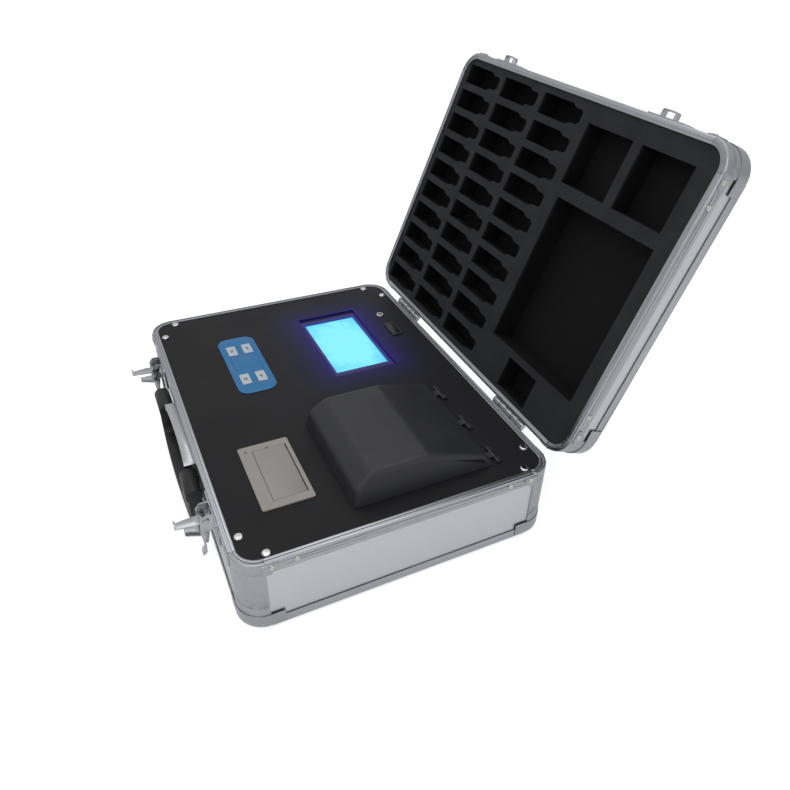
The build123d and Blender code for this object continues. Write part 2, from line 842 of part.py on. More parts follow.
def panel_ledges():
    """Four wooden battens round the base that carry the panel."""
    top = panel_under
    low = top - ledge_height
    inner_x = half_width - rim_width
    inner_y = half_depth - rim_width
    end = 8.0 + corner_radius - rim_width
    side = block(inner_x - ledge_width, inner_x, end - inner_y, inner_y - end, low, top)
    front = block(end - inner_x, inner_x - end, -inner_y, ledge_width - inner_y, low, top)
    ledges = both_sides(side) + [front, mirror(front, about=Plane.XZ)]
    drilled = []
    for ledge in ledges:
        for x, y in screw_places():
            ledge -= upright(x, y, panel_z - screw_length - 1, panel_z, screw_radius + running_clearance)
        drilled.append(ledge)
    return drilled


def panel_screws():
    """Eight round-headed screws."""
    screws = []
    for x, y in screw_places():
        head = upright(x, y, panel_z, panel_z + screw_head_height, screw_head_radius)
        head = fillet(head.edges().sort_by(Axis.Z)[-1], screw_head_height * 0.85)
        screws.append(head + upright(x, y, panel_z - screw_length, panel_z, screw_radius))
    return screws


def display_bezel():
    """The black frame behind the panel window."""
    width = window_width + 2 * bezel_margin
    height = window_height + 2 * bezel_margin
    z1 = panel_under
    bezel = slab(display_x, display_y, width, height, 3, z1 - bezel_thickness, z1)
    reach_x, reach_y = lit_width / 2, lit_height / 2
    x0, x1 = display_x - reach_x, display_x + reach_x
    y0, y1 = display_y - reach_y, display_y + reach_y
    bezel -= block(x0, x1, y0, y1, z1 - bezel_thickness - 1, z1 + 1)
    for x, y in display_stud_places():
        bezel -= upright(x, y, z1 - bezel_thickness - 1, z1 + 1, 3.0)
    return bezel


def display_glass():
    """The lit glass of the display, set in its frame."""
    z0 = panel_under - bezel_thickness
    g = 0.2
    return block(display_x - lit_width / 2 + g, display_x + lit_width / 2 - g,
                 display_y - lit_height / 2 + g, display_y + lit_height / 2 - g, z0, z0 + glass_thickness)


def display_board():
    """The display's circuit board with the backlight block between it and the glass."""
    z1 = panel_z - display_board_drop
    board = block(display_x - display_board_width / 2, display_x + display_board_width / 2,
                  display_y - display_board_height / 2, display_y + display_board_height / 2, z1 - board_sheet, z1)
    top = panel_under - bezel_thickness
    return board + block(display_x - lit_width / 2, display_x + lit_width / 2,
                         display_y - lit_height / 2, display_y + lit_height / 2, z1, top)


def keypad_overlay():
    """The blue overlay, cut out round the four keys."""
    overlay = slab(keypad_x, keypad_y, keypad_width, keypad_height, keypad_radius, panel_z, panel_z + overlay_thickness)
    for x, y in key_places():
        overlay -= slab(x, y, key_width + 2 * key_gap, key_height + 2 * key_gap, 1.2, panel_z - 1, panel_z + 2)
    return overlay


def key(x, y):
    """One key: a cap, and a stem that reaches its switch under the panel."""
    z0 = panel_z + key_stand
    cap = slab(x, y, key_width, key_height, 1.0, z0, z0 + key_cap_thickness)
    cap = fillet(cap.edges().group_by(Axis.Z)[-1], 0.3)
    low = panel_z - key_board_drop + 4.2
    reach_x, reach_y = key_stem_width / 2, key_stem_height / 2
    return cap + block(x - reach_x, x + reach_x, y - reach_y, y + reach_y, low, z0)


def key_board():
    """The key board with one push switch below each key."""
    z1 = panel_z - key_board_drop
    board = slab(keypad_x, keypad_y, keypad_width - 6, keypad_height - 6, 3, z1 - board_sheet, z1)
    reach = switch_side / 2
    switch_top = z1 + 4.2 - key_travel - 0.05
    for x, y in key_places():
        board += block(x - reach, x + reach, y - reach, y + reach, z1, switch_top)
    return board


def printer_housing():
    """The printer's front plate and its open-topped paper box."""
    plate = slab(printer_x, printer_y, printer_width, printer_height, 2.0, panel_z, printer_top)
    plate = fillet(plate.edges().group_by(Axis.Z)[-1], 0.6)
    g = part_clearance
    reach_x, reach_y = printer_body_width / 2 - g, printer_body_height / 2 - g
    low = panel_z - printer_depth
    body = block(printer_x - reach_x, printer_x + reach_x, printer_y - reach_y, printer_y + reach_y, low, panel_z)
    wall = printer_wall
    bay = block(printer_x - reach_x + wall, printer_x + reach_x - wall, printer_y - reach_y + wall,
                printer_y + reach_y - wall, low + wall, panel_z + 5)
    opening_rear = door_front + door_length + paper_slot
    mouth = block(printer_x - door_width / 2 - door_gap, printer_x + door_width / 2 + door_gap,
                  door_front - door_gap, opening_rear, panel_z - 2, panel_z + 5)
    lid_part = block(printer_x - reach_x + wall, printer_x + reach_x - wall, printer_y - reach_y + wall,
                     printer_y + reach_y - wall, panel_z - 0.1, panel_z + 5)
    housing = plate + body
    housing -= bay - lid_part
    housing -= mouth
    spindle_x = roll_width / 2 + 0.5
    for side in (-1, 1):
        a = printer_x + side * spindle_x
        b = printer_x + side * (reach_x - wall + 0.5)
        housing += rod(min(a, b), max(a, b), roll_y, roll_z, roll_spindle_radius)
    for side in (-1, 1):
        a = printer_x + side * (door_width / 2 - 2.0)
        b = printer_x + side * (reach_x - wall + 0.5)
        housing += rod(min(a, b), max(a, b), door_axis_y, door_axis_z, door_pin_radius)
    return housing


def print_head():
    """The thermal head bar behind the platen roller."""
    rear = printer_y + printer_body_height / 2 - part_clearance - printer_wall
    front = platen_y + platen_radius + 0.5
    return block(printer_x - platen_length / 2, printer_x + platen_length / 2, front, rear, platen_z - 6, platen_z + 1.5)


def printer_door():
    """The printer's door: a flat lid with hinge lugs at the front and roller lugs at the rear."""
    reach = door_width / 2
    rear = door_front + door_length
    door = block(printer_x - reach, printer_x + reach, door_front, rear, panel_z - 0.4, printer_top)
    door = fillet(door.edges().filter_by(Axis.X).sort_by(Axis.Y)[:2].sort_by(Axis.Z)[-1], 0.8)
    lug = [(door_axis_y - 1.1, panel_z + 0.5), (door_axis_y - 1.1, door_axis_z - 1.6)]
    lug += [(door_axis_y + 2.0, door_axis_z - 1.6), (door_axis_y + 4.0, panel_z + 0.5)]
    arm = [(platen_y - 6.0, panel_z + 0.5), (platen_y - 3.0, platen_z - 2.5)]
    arm += [(platen_y + 2.5, platen_z - 2.5), (platen_y + 3.0, panel_z + 0.5)]
    for side in (-1, 1):
        edge = printer_x + side * (reach - 0.1)
        inner = edge - side * 2.2
        door += along_x(lug, min(edge, inner), max(edge, inner))
        near = printer_x + side * (platen_length / 2 + 0.5)
        far = near + side * 2.2
        door += along_x(arm, min(near, far), max(near, far))
    for side in (-1, 1):
        a = printer_x + side * (reach - 2.5)
        b = printer_x + side * (reach + 1)
        door -= rod(min(a, b), max(a, b), door_axis_y, door_axis_z, door_pin_radius + running_clearance)
    bore = platen_axle_radius + running_clearance
    door -= rod(printer_x - reach, printer_x + reach, platen_y, platen_z, bore)
    return door


def platen_roller():
    """The rubber feed roller on its axle."""
    roller = rod(printer_x - platen_length / 2, printer_x + platen_length / 2, platen_y, platen_z, platen_radius)
    reach = platen_length / 2 + 2.7
    return roller + rod(printer_x - reach, printer_x + reach, platen_y, platen_z, platen_axle_radius)


def paper_roll():
    """The paper roll on the two spindle stubs of the box."""
    roll = rod(printer_x - roll_width / 2, printer_x + roll_width / 2, roll_y, roll_z, roll_radius)
    return roll - rod(printer_x - roll_width, printer_x + roll_width, roll_y, roll_z, roll_core_radius)


def printer_lamps():
    """Two small lights let into the printer's front plate."""
    lamps = []
    for x, y in ((printer_x - 36.9, printer_y + 2.3), (printer_x - 37.3, printer_y - 18.5)):
        lamps.append(upright(x, y, printer_top, printer_top + 0.5, 1.3))
    return lamps


def power_jack():
    """The round power inlet with its centre contact."""
    jack = upright(jack_x, jack_y, panel_z, panel_z + 1.6, jack_flange_radius)
    jack = fillet(jack.edges().sort_by(Axis.Z)[-1], 0.8)
    jack += upright(jack_x, jack_y, panel_z - jack_depth, panel_z, jack_body_radius)
    jack -= upright(jack_x, jack_y, panel_z - jack_depth + 2, panel_z + 2, jack_bore_radius)
    return jack + upright(jack_x, jack_y, panel_z - jack_depth + 1, panel_z - 1, 0.9)


def rocker_frame():
    """The switch body with its raised rim, hollow round the rocker."""
    top = panel_z + rocker_stand
    frame = slab(rocker_x, rocker_y, rocker_width, rocker_height, 1.5, panel_z, top)
    frame = fillet(frame.edges().group_by(Axis.Z)[-1], 0.6)
    reach_x, reach_y = rocker_width / 2 - 1.5, rocker_height / 2 - 1.5
    low = panel_z - rocker_body_depth
    frame += block(rocker_x - reach_x, rocker_x + reach_x, rocker_y - reach_y, rocker_y + reach_y, low, panel_z)
    reach_x, reach_y = rocker_width / 2 - rocker_rim, rocker_height / 2 - rocker_rim
    hollow = block(rocker_x - reach_x, rocker_x + reach_x, rocker_y - reach_y, rocker_y + reach_y, panel_z - 8, top + 1)
    frame -= hollow
    pivot = Pos(rocker_x, rocker_y, rocker_axis_z) * Rot(90, 0, 0) * Cylinder(1.0, rocker_height - 2)
    return frame + (pivot & block(rocker_x - 3, rocker_x + 3, rocker_y - rocker_height, rocker_y + rocker_height, low, top))


def rocker():
    """The tilting rocker, shown pressed down at its right end."""
    reach_x = rocker_width / 2 - rocker_rim - 0.5
    reach_y = rocker_height / 2 - rocker_rim - 0.25
    z = rocker_axis_z
    side = [(-reach_x, z + 1.6), (0, z + 1.3), (reach_x, z + 1.6), (reach_x * 0.93, z - 0.8)]
    side += [(3.2, z - 3.0), (-3.2, z - 3.0), (-reach_x * 0.93, z - 0.6)]
    body = along_y(side, -reach_y, reach_y)
    bore = Pos(0, 0, z) * Rot(90, 0, 0) * Cylinder(1.0 + running_clearance, rocker_height)
    tilted = (body - bore).rotate(Axis((0, 0, z), (0, 1, 0)), rocker_tilt)
    return Pos(rocker_x, rocker_y, 0) * tilted


def cover_solid(inset):
    """The cover's outer form, shrunk by an inset: a rounded side profile between leaning ends."""
    z0 = panel_z + cover_gap
    top = panel_z + cover_height - inset
    front = cover_front_y + inset
    rear = cover_rear_y - inset
    crease = cover_front_y + 0.53 * (cover_rear_y - cover_front_y)
    brow = z0 + 0.56 * cover_height - inset
    heel = z0 + 0.42 * cover_height - inset
    profile = [(front, z0), (front + 4.0, brow), (front + 20.0, top)]
    profile += [(crease, top), (rear - 9.0, heel), (rear, z0)]
    outline = make_face(Polyline(*profile, close=True))
    for place, radius in zip(profile[1:5], (12.0, 16.0, 25.0, 6.0)):
        corner = outline.vertices().sort_by_distance(Vector(*place))[0]
        outline = fillet(corner, radius - inset)
    side = extrude(Plane.YZ.offset(cover_x - cover_width) * outline, 2 * cover_width)
    half_w = cover_width / 2 - inset
    lean = cover_side_lean
    ends = [(cover_x - half_w, z0), (cover_x + half_w, z0)]
    ends += [(cover_x + half_w - lean, top + 1), (cover_x + lean - half_w, top + 1)]
    solid = side & along_y(ends, front - 5, rear + 5)
    rims = solid.edges().filter_by(lambda e: e.center().Z > panel_z + 3)
    rims = rims.filter_by(lambda e: abs(e.center().X - cover_x) > 30)
    return fillet(rims, cover_edge_round - inset)


def cover_knuckles(first):
    """Places of the cover's hinge knuckles along X: odd ones on the cover, even ones on the panel."""
    share = 8.0
    places = []
    for middle in (cover_x - 56.0, cover_x, cover_x + 56.0):
        for k in range(3):
            if k % 2 == first:
                a = middle + (k - 1.5) * share
                places.append((a + 0.2, a + share - 0.2))
    return places


def cell_cover():
    """The moulded light cover: a thin-walled hood with three hinge knuckles."""
    cover = cover_solid(0) - cover_solid(cover_wall)
    for a, b in cover_knuckles(1):
        cover += block(a, b, cover_rear_y - cover_wall, cover_axis_y, cover_axis_z, cover_axis_z + 1.5)
        cover += rod(a, b, cover_axis_y, cover_axis_z, cover_knuckle_radius)
    cover -= rod(cover_x - 80, cover_x + 80, cover_axis_y, cover_axis_z, cover_pin_radius + running_clearance)
    cover &= block(cover_x - cover_width, cover_x + cover_width, cover_front_y - 5, cover_axis_y + 5,
                   panel_z + 0.0, panel_z + cover_height + 5) + cover_knuckle_room()
    return cover


def cover_knuckle_room():
    """The slots in the panel into which the cover's knuckles dip."""
    room = None
    for a, b in cover_knuckles(1):
        slot = block(a - 0.2, b + 0.2, cover_axis_y - 2.3, cover_axis_y + 2.3, panel_z - 1.6, panel_z + 0.1)
        room = slot if room is None else room + slot
    return room


def cover_hinge_brackets():
    """Three small hinge blocks on the panel with their pins."""
    brackets = []
    for middle in (cover_x - 56.0, cover_x, cover_x + 56.0):
        made = None
        for a, b in cover_knuckles(0):
            if abs((a + b) / 2 - middle) < 12:
                ear = rod(a, b, cover_axis_y, cover_axis_z, cover_knuckle_radius)
                ear += block(a, b, cover_axis_y - 1.2, cover_axis_y + 4.0, panel_z, cover_axis_z + 0.6)
                ear &= block(a, b, cover_axis_y - 5, cover_axis_y + 5, panel_z, panel_z + 5)
                made = ear if made is None else made + ear
        made += rod(middle - 12.0, middle + 12.0, cover_axis_y, cover_axis_z, cover_pin_radius)
        brackets.append(made)
    return brackets


def cell_block():
    """The measuring block with a round tube well and a square cuvette well."""
    top = panel_z + cell_block_stand
    low = top - cell_block_height
    g = part_clearance
    reach_x, reach_y = cell_block_width / 2 - g, cell_block_length / 2 - g
    body = block(cover_x - reach_x, cover_x + reach_x, cell_block_y - reach_y, cell_block_y + reach_y, low, top)
    body = chamfer(body.edges().group_by(Axis.Z)[-1], 1.0)
    body -= upright(cover_x - tube_offset, cell_block_y, top - tube_bore_depth, top + 1, tube_bore_radius)
    reach = cuvette_side / 2
    x = cover_x + tube_offset
    body -= block(x - reach, x + reach, cell_block_y - reach, cell_block_y + reach, top - cuvette_depth, top + 1)
    for place_x in (cover_x - tube_offset, cover_x + tube_offset):
        port = Pos(place_x, cell_block_y, top - 30) * Rot(90, 0, 0) * Cylinder(lamp_radius + running_clearance, 200)
        clear = block(place_x - 12, place_x + 12, cell_block_y - 9.5, cell_block_y + 9.5, low, top)
        window = Pos(place_x, cell_block_y, top - 30) * Rot(90, 0, 0) * Cylinder(1.5, 22)
        body -= port - clear
        body -= window
    return body


def cell_lights(side):
    """Lamp holders on one side of the wells, or detector holders on the other."""
    made = []
    top = panel_z + cell_block_stand
    for x in (cover_x - tube_offset, cover_x + tube_offset):
        near = cell_block_y + side * 10.0
        far = near + side * (cell_block_length / 2 - 10.0)
        cap = far + side * 4.0
        body = Pos(x, (near + far) / 2, top - 30) * Rot(90, 0, 0) * Cylinder(lamp_radius, abs(far - near))
        body += Pos(x, (far + cap) / 2, top - 30) * Rot(90, 0, 0) * Cylinder(lamp_radius + 2, abs(cap - far))
        made.append(body)
    return made


def cell_posts():
    """Four posts that carry the measuring block from the floor board."""
    low = panel_z + cell_block_stand - cell_block_height
    posts = []
    for sx in (-1, 1):
        for sy in (-1, 1):
            x = cover_x + sx * (cell_block_width / 2 - 8)
            y = cell_block_y + sy * (cell_block_length / 2 - 8)
            posts.append(upright(x, y, floor_top, low, 4.0))
    return posts


def main_board():
    """The main circuit board with its processor, two capacitors and a row of sockets."""
    z = floor_top + spacer_height
    x, y = main_board_x, main_board_y
    board = slab(x, y, main_board_width, main_board_length, 3, z, z + board_sheet)
    top = z + board_sheet
    board += block(x - 12, x + 12, y - 12, y + 12, top, top + 2.5)
    for k in (0, 1):
        board += upright(x + 45 + 16 * k, y + 30, top, top + 16, 6)
    for k in range(4):
        a = x - 62 + 22 * k
        board += block(a, a + 16, y - 45, y - 37, top, top + 9)
    return board


def board_spacers():
    """Four threaded spacers under the main board."""
    reach_x = main_board_width / 2 - 6
    reach_y = main_board_length / 2 - 6
    z0, z1 = floor_top, floor_top + spacer_height
    return [upright(main_board_x + sx * reach_x, main_board_y + sy * reach_y, z0, z1, spacer_radius)
            for sx in (-1, 1) for sy in (-1, 1)]


def battery_pack():
    """The wrapped battery pack on the floor board."""
    pack = block(battery_x - battery_width / 2, battery_x + battery_width / 2,
                 battery_y - battery_length / 2, battery_y + battery_length / 2, floor_top, floor_top + battery_height)
    return fillet(pack.edges().filter_by(Axis.X), 6.0)


def battery_strap():
    """The strap over the battery pack, screwed to the floor board."""
    reach = battery_length / 2
    g = part_clearance
    t = sheet_thickness
    top = floor_top + battery_height + g
    y0, y1 = battery_y - reach - g, battery_y + reach + g
    points = [(y0 - 12, floor_top), (y0 - 12, floor_top + t), (y0 - t, floor_top + t), (y0 - t, top + t)]
    points += [(y1 + t, top + t), (y1 + t, floor_top + t), (y1 + 12, floor_top + t), (y1 + 12, floor_top)]
    points += [(y1, floor_top), (y1, top), (y0, top), (y0, floor_top)]
    return along_x(points, battery_x - battery_strap_width / 2, battery_x + battery_strap_width / 2)


def foam_bar(x0, x1, y0, y1, z0, z1):
    """One straight bar of foam, rounded where it reaches a corner of the insert."""
    outline = panel_outline(-part_clearance, z0, z1)
    return outline & block(x0, x1, y0, y1, z0, z1)


def shoulder_pads(x, y, z0, z1):
    """Two bevelled pads that narrow a bottle pocket at the bottle's shoulders and neck."""
    end = x + pocket_length / 2
    neck = end - pocket_neck_length
    shoulder = neck - pocket_shoulder
    outer = pocket_width / 2
    inner = pocket_neck_width / 2
    cap = inner * 0.65
    pads = []
    for side in (-1, 1):
        points = [(shoulder, outer), (neck, inner), (end - 4.0, inner), (end, cap), (end, outer)]
        outline = make_face(Polyline(*[(px, y + side * py) for px, py in points], close=True))
        pads.append(extrude(Pos(0, 0, z0) * outline, z1 - z0, dir=(0, 0, 1)))
    return pads


def bottle_columns(z0, z1):
    """Three columns of bottle pockets: upright bars, bars between the rows, and shoulder pads."""
    foam_x = half_width - rim_width
    foam_y = half_depth - rim_width
    half_l = pocket_length / 2
    half_w = pocket_width / 2
    made = []
    left = -foam_x
    for column in range(pocket_columns):
        x = pocket_first_x + column * pocket_column_pitch
        made.append(foam_bar(left, x - half_l, -foam_y, foam_y, z0, z1))
        left = x + half_l
        near = -foam_y
        for row in range(pocket_rows):
            y = pocket_first_y + row * pocket_row_pitch
            made.append(foam_bar(x - half_l, x + half_l, near, y - half_w, z0, z1))
            made += shoulder_pads(x, y, z0, z1)
            near = y + half_w
        made.append(foam_bar(x - half_l, x + half_l, near, foam_y, z0, z1))
    made.append(foam_bar(left, square_pocket_x - square_pocket_width / 2, -foam_y, foam_y, z0, z1))
    return made


def accessory_bars(z0, z1):
    """The bars round the two square pockets, the cover's tray and the small pocket."""
    foam_x = half_width - rim_width
    foam_y = half_depth - rim_width
    half_s = square_pocket_width / 2
    left = square_pocket_x - half_s
    middle_left = square_pocket_x + half_s
    middle_right = square_pocket_x + square_pocket_pitch - half_s
    right = square_pocket_x + square_pocket_pitch + half_s
    front = square_pocket_y - square_pocket_length / 2
    rear = square_pocket_y + square_pocket_length / 2
    made = [foam_bar(left, foam_x, -foam_y, front, z0, z1)]
    made.append(foam_bar(middle_left, middle_right, front, rear, z0, z1))
    made.append(foam_bar(right, foam_x, front, rear, z0, z1))
    made.append(foam_bar(left, foam_x, rear, tray_front, z0, z1))
    made += tray_sides(left, z0, z1)
    small_left = single_pocket_x - single_pocket_width / 2
    small_right = single_pocket_x + single_pocket_width / 2
    small_front = single_pocket_y - single_pocket_length / 2
    small_rear = single_pocket_y + single_pocket_length / 2
    made.append(foam_bar(left, foam_x, tray_rear, small_front, z0, z1))
    made.append(foam_bar(left, small_left, small_front, foam_y, z0, z1))
    made.append(foam_bar(small_right, foam_x, small_front, foam_y, z0, z1))
    made.append(foam_bar(small_left, small_right, small_rear, foam_y, z0, z1))
    return made


def tray_sides(left, z0, z1):
    """The two bars beside the cover's tray."""
    foam_x = half_width - rim_width
    reach = cover_width / 2 + tray_margin
    return [foam_bar(left, cover_x - reach, tray_front, tray_rear, z0, z1),
            foam_bar(cover_x + reach, foam_x, tray_front, tray_rear, z0, z1)]


def lid_foam():
    """The foam insert, glued up from bars on a backing sheet that is cut out for the cover."""
    foam_x = half_width - rim_width
    foam_y = half_depth - rim_width
    face = lid_rim_z + foam_recess
    pocket_floor = face + pocket_depth
    top = lid_top_z - sheet_thickness - lid_board_thickness
    tray_floor = top - tray_lining
    made = bottle_columns(face, pocket_floor) + accessory_bars(face, pocket_floor)
    made.append(foam_bar(-foam_x, foam_x, -foam_y, tray_front, pocket_floor, tray_floor))
    made.append(foam_bar(-foam_x, foam_x, tray_rear, foam_y, pocket_floor, tray_floor))
    made += tray_sides(-foam_x, pocket_floor, tray_floor)
    made.append(panel_outline(-part_clearance, tray_floor, top))
    return made


def opened(shape):
    """Swings a lid piece from closed to the open rest position."""
    return shape.rotate(hinge_axis, lid_open_angle)


def save_case_base():
    """Every fixed piece of the lower half of the case."""
    save("base_rim_rails", *rim_rails(base_half))
    save("base_rim_corners", *four_corners(rim_corner(base_half)))
    save("base_rivets", *rivets(base_half))
    save("base_edge_rails", *straight_sides(base_half, edge_profile(base_half)))
    save("base_side_boards", *side_boards(base_half))
    save("base_floor_board", flat_board(base_half, floor_board_thickness))
    save("base_ball_corners", *four_corners(ball_corner(base_half, base_ball_height)))
    save("base_corner_posts", *four_corners(corner_post(base_half)))
    save("base_feet", *feet())
    save("base_hinge_leaves", *[hinge_leaf(base_half, x) for x in (-hinge_position, hinge_position)])
    save("hinge_pins", *[hinge_pin(x) for x in (-hinge_position, hinge_position)])
    save("latch_plates", *[latch_plate(x) for x in (-latch_position, latch_position)])
    save("latch_studs", *latch_studs(-latch_position), *latch_studs(latch_position))
    save("handle_bracket", handle_bracket())
    save("handle_pins", *handle_pins())


def save_lid():
    """Every piece of the lid, swung open."""
    save("lid_rim_rails", *[opened(rail) for rail in rim_rails(lid_half)])
    save("lid_rim_corners", *[opened(piece) for piece in four_corners(rim_corner(lid_half))])
    save("lid_rivets", *[opened(piece) for piece in rivets(lid_half)])
    save("lid_edge_rails", *[opened(rail) for rail in straight_sides(lid_half, edge_profile(lid_half))])
    save("lid_side_boards", *[opened(board) for board in side_boards(lid_half)])
    save("lid_top_board", opened(flat_board(lid_half, lid_board_thickness)))
    save("lid_ball_corners", *[opened(ball) for ball in four_corners(ball_corner(lid_half, lid_ball_height))])
    save("lid_hinge_leaves", *[opened(hinge_leaf(lid_half, x)) for x in (-hinge_position, hinge_position)])
    save("lid_keepers", *[opened(keeper(x)) for x in (-latch_position, latch_position)])
    save("lid_foam", *[opened(bar) for bar in lid_foam()])


def save_moving():
    """The latches and the handle."""
    for name, x in (("left", -latch_position), ("right", latch_position)):
        save(f"latch_lever_{name}", latch_lever(x))
        save(f"latch_tongue_{name}", latch_tongue(x))
    save("carry_handle", carry_handle())


def save_instrument():
    """The panel with all that is mounted in it."""
    panel = top_panel()
    panel -= cover_knuckle_room()
    save("top_panel", panel)
    save("panel_ledges", *panel_ledges())
    save("panel_screws", *panel_screws())
    save("display_bezel", display_bezel())
    save("display_glass", display_glass())
    save("display_board", display_board())
    save("keypad_overlay", keypad_overlay())
    save("key_board", key_board())
    for number, (x, y) in enumerate(key_places(), 1):
        save(f"key_{number}", key(x, y))
    save("printer_housing", printer_housing())
    save("print_head", print_head())
    save("printer_door", printer_door())
    save("platen_roller", platen_roller())
    save("paper_roll", paper_roll())
    save("printer_lamps", *printer_lamps())
    save("power_jack", power_jack())
    save("rocker_frame", rocker_frame())
    save("rocker", rocker())


def save_inside():
    """The measuring cell and the electronics under the panel."""
    save("cell_cover", cell_cover())
    save("cover_hinge_brackets", *cover_hinge_brackets())
    save("cell_block", cell_block())
    save("cell_lamps", *cell_lights(-1))
    save("cell_detectors", *cell_lights(1))
    save("main_board", main_board())
    save("floor_posts", *board_spacers(), *cell_posts())
    save("battery_pack", battery_pack())
    save("battery_strap", battery_strap())


os.makedirs("parts", exist_ok=True)
save_case_base()
save_lid()
save_moving()
save_instrument()
save_inside()
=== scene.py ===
import math

import bpy
import numpy as np
from mathutils import Matrix, Vector


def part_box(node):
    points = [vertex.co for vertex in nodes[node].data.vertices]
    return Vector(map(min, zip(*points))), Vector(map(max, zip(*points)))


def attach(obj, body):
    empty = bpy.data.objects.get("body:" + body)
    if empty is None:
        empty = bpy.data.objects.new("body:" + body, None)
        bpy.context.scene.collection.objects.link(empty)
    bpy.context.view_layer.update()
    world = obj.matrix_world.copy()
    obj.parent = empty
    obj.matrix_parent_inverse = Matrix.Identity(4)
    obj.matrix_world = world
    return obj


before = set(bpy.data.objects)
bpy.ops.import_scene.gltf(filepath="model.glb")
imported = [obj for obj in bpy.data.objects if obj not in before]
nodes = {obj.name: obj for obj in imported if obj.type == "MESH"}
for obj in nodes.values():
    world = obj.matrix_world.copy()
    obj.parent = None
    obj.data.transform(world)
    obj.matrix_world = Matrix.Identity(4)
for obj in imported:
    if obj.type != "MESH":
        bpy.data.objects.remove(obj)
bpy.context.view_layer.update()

# Boards: plywood faced with brushed aluminium foil on the sides and the lid's top, plain below
# The sides are foil laminated on 4.6 mm plywood, brushed along the board, so that light draws out in
# fine level streaks. They slide into the rails of the case. The floor board is bare birch plywood.


def srgb(code):
    """A colour written as sRGB hex, turned to linear by the standard's two-part curve."""
    parts = [int(code[i:i + 2], 16) / 255 for i in (1, 3, 5)]
    return tuple(v / 12.92 if v <= 0.04045 else ((v + 0.055) / 1.055) ** 2.4 for v in parts) + (1.0,)


def add(tree, kind, links=(), **settings):
    """Adds a node; settings name its properties or sockets, and i1 stands for socket number 1.

    Each link is (socket of this node, source node, output of the source)."""
    made = tree.nodes.new("ShaderNode" + kind)
    for name, value in settings.items():
        if hasattr(made, name):
            setattr(made, name, value)
            continue
        numbered = name[0] == "i" and name[1:].isdigit()
        socket = int(name[1:]) if numbered else name.replace("_", " ")
        made.inputs[socket].default_value = value
    for socket, source, output in links:
        tree.links.new(source.outputs[output], made.inputs[socket])
    return made


def surface(name, colour, roughness, metallic=0.0, **settings):
    """A material with one Principled shader; returns the material, its tree and the shader."""
    material = bpy.data.materials.new(name)
    material.use_nodes = True
    tree = material.node_tree
    shader = tree.nodes["Principled BSDF"]
    shader.inputs["Base Color"].default_value = srgb(colour)
    shader.inputs["Roughness"].default_value = roughness
    shader.inputs["Metallic"].default_value = metallic
    for key, value in settings.items():
        shader.inputs[key.replace("_", " ")].default_value = value
    return material, tree, shader


hinge_line = (0.0, 0.1603, 0.0862)
lid_angle = math.radians(112)


def places(tree, on_lid=False):
    """Object coordinates; on the lid they are turned back to the lid's closed position."""
    here = add(tree, "TexCoord")
    if not on_lid:
        return here, "Object"
    c, s = math.cos(lid_angle), math.sin(lid_angle)
    y, z = hinge_line[1], hinge_line[2]
    shift = (0.0, y - (c * y - s * z), z - (s * y + c * z))
    turned = add(tree, "Mapping", [("Vector", here, "Object")], Rotation=(lid_angle, 0, 0), Location=shift)
    return turned, "Vector"


def streaked(name, colour, roughness, on_lid=False, grain=2600.0, depth=0.02, spread=0.10):
    """Brushed or drawn metal: noise drawn out along the piece varies the roughness and the height."""
    material, tree, shader = surface(name, colour, roughness, 1.0)
    here, out = places(tree, on_lid)
    long_grain = add(tree, "Mapping", [("Vector", here, out)], Scale=(9.0, 9.0, grain))
    lines = add(tree, "TexNoise", [("Vector", long_grain, "Vector")], Scale=1.0, Detail=3.0, Roughness=0.6)
    cloud = add(tree, "TexNoise", [("Vector", here, out)], Scale=26.0, Detail=4.0, Roughness=0.55)
    both = add(tree, "Math", [(0, lines, "Fac"), (1, cloud, "Fac")], operation="ADD")
    rough = add(tree, "MapRange", [("Value", both, "Value")], From_Min=0.6, From_Max=1.4,
                To_Min=roughness - spread, To_Max=roughness + spread)
    tree.links.new(rough.outputs["Result"], shader.inputs["Roughness"])
    bump = add(tree, "Bump", [("Height", lines, "Fac")], Strength=depth * 4, Distance=0.0002)
    tree.links.new(bump.outputs["Normal"], shader.inputs["Normal"])
    return material


def dress(names, material, bevel=0.0, angle=32.0):
    """Gives CAD nodes their finish, with smoothed curves and, where asked, softened edges."""
    for name in names:
        node = nodes[name]
        node.data.materials.clear()
        node.data.materials.append(material)
        node.data.polygons.foreach_set("use_smooth", np.ones(len(node.data.polygons), bool))
        weld = node.modifiers.new("weld", "WELD")
        weld.merge_threshold = 0.00002
        if bevel:
            soft = node.modifiers.new("edge", "BEVEL")
            soft.width = bevel
            soft.segments = 2
            soft.limit_method = "ANGLE"
            soft.angle_limit = math.radians(angle)
            soft.harden_normals = True
        split = node.modifiers.new("split", "EDGE_SPLIT")
        split.split_angle = math.radians(angle)


side_foil = streaked("brushed_aluminium_foil", "#CDD0D4", 0.36, depth=0.035, spread=0.12)
lid_foil = streaked("brushed_aluminium_foil_lid", "#CDD0D4", 0.36, on_lid=True, depth=0.035, spread=0.12)
dress(["base_side_boards"], side_foil)
dress(["lid_side_boards", "lid_top_board"], lid_foil)

